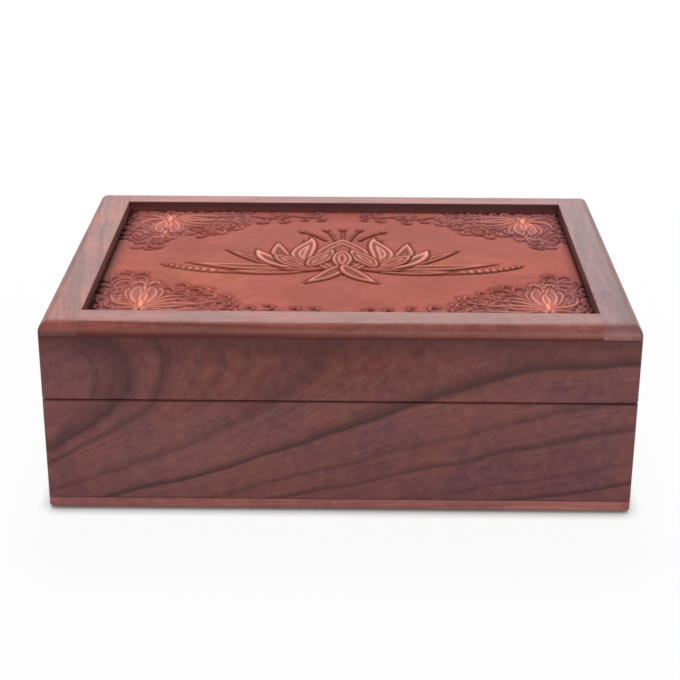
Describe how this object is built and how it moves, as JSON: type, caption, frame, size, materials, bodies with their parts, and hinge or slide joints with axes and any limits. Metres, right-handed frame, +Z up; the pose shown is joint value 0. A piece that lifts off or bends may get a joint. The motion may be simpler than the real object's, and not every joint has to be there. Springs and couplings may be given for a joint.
{
  "type": "tarot card box",
  "caption": "Hinged wooden card box with a framed tooled leather panel in the lid, a divider between decks, felt linings and brass butt hinges.",
  "frame": {"origin": "on the table, under the middle of the box, level with the undersides of the pads", "axes": "+X to the right along the box's long side, +Y from the front to the hinges, +Z up"},
  "size_m": [0.22, 0.1586, 0.0763],
  "materials": {
    "walnut_boards": "satin oiled, dark purple-brown with darker streaks",
    "walnut_frame": "satin oiled, rounded outer edge",
    "red_base": "satin oiled, redder than the boards",
    "divider_wood": "satin oiled",
    "panel_wood": "plain plywood, hidden",
    "tooled_leather": "tooled and antiqued, satin",
    "lining_felt": "matt wool felt",
    "hinge_brass": "brushed, slightly dulled",
    "pad_rubber": "matt"
  },
  "bodies": {
    "case": {"case_front_board": "walnut_boards", "case_back_board": "walnut_boards", "case_left_board": "walnut_boards", "case_right_board": "walnut_boards", "base_plate": "red_base", "deck_divider": "divider_wood", "left_floor_felt": "lining_felt", "front_left_pad": "pad_rubber", "back_left_pad": "pad_rubber", "left_hinge_case_leaf": "hinge_brass", "left_hinge_pin": "hinge_brass", "right_floor_felt": "lining_felt", "front_right_pad": "pad_rubber", "back_right_pad": "pad_rubber", "right_hinge_case_leaf": "hinge_brass", "right_hinge_pin": "hinge_brass", "case_hinge_screws": "hinge_brass"},
    "lid": {"lid_front_board": "walnut_boards", "lid_back_board": "walnut_boards", "lid_left_board": "walnut_boards", "lid_right_board": "walnut_boards", "frame_front_rail": "walnut_frame", "frame_back_rail": "walnut_frame", "frame_left_rail": "walnut_frame", "frame_right_rail": "walnut_frame", "lid_panel": "panel_wood", "leather_panel": "tooled_leather", "lid_felt": "lining_felt", "left_hinge_lid_leaf": "hinge_brass", "right_hinge_lid_leaf": "hinge_brass", "lid_hinge_screws": "hinge_brass"}
  },
  "joints": [
    {"name": "lid_hinge", "type": "hinge", "parent": "case", "child": "lid", "pos_m": [0, 0.07675, 0.04555], "axis": [-1, 0, 0], "range_deg": [0, 100]}
  ]
}
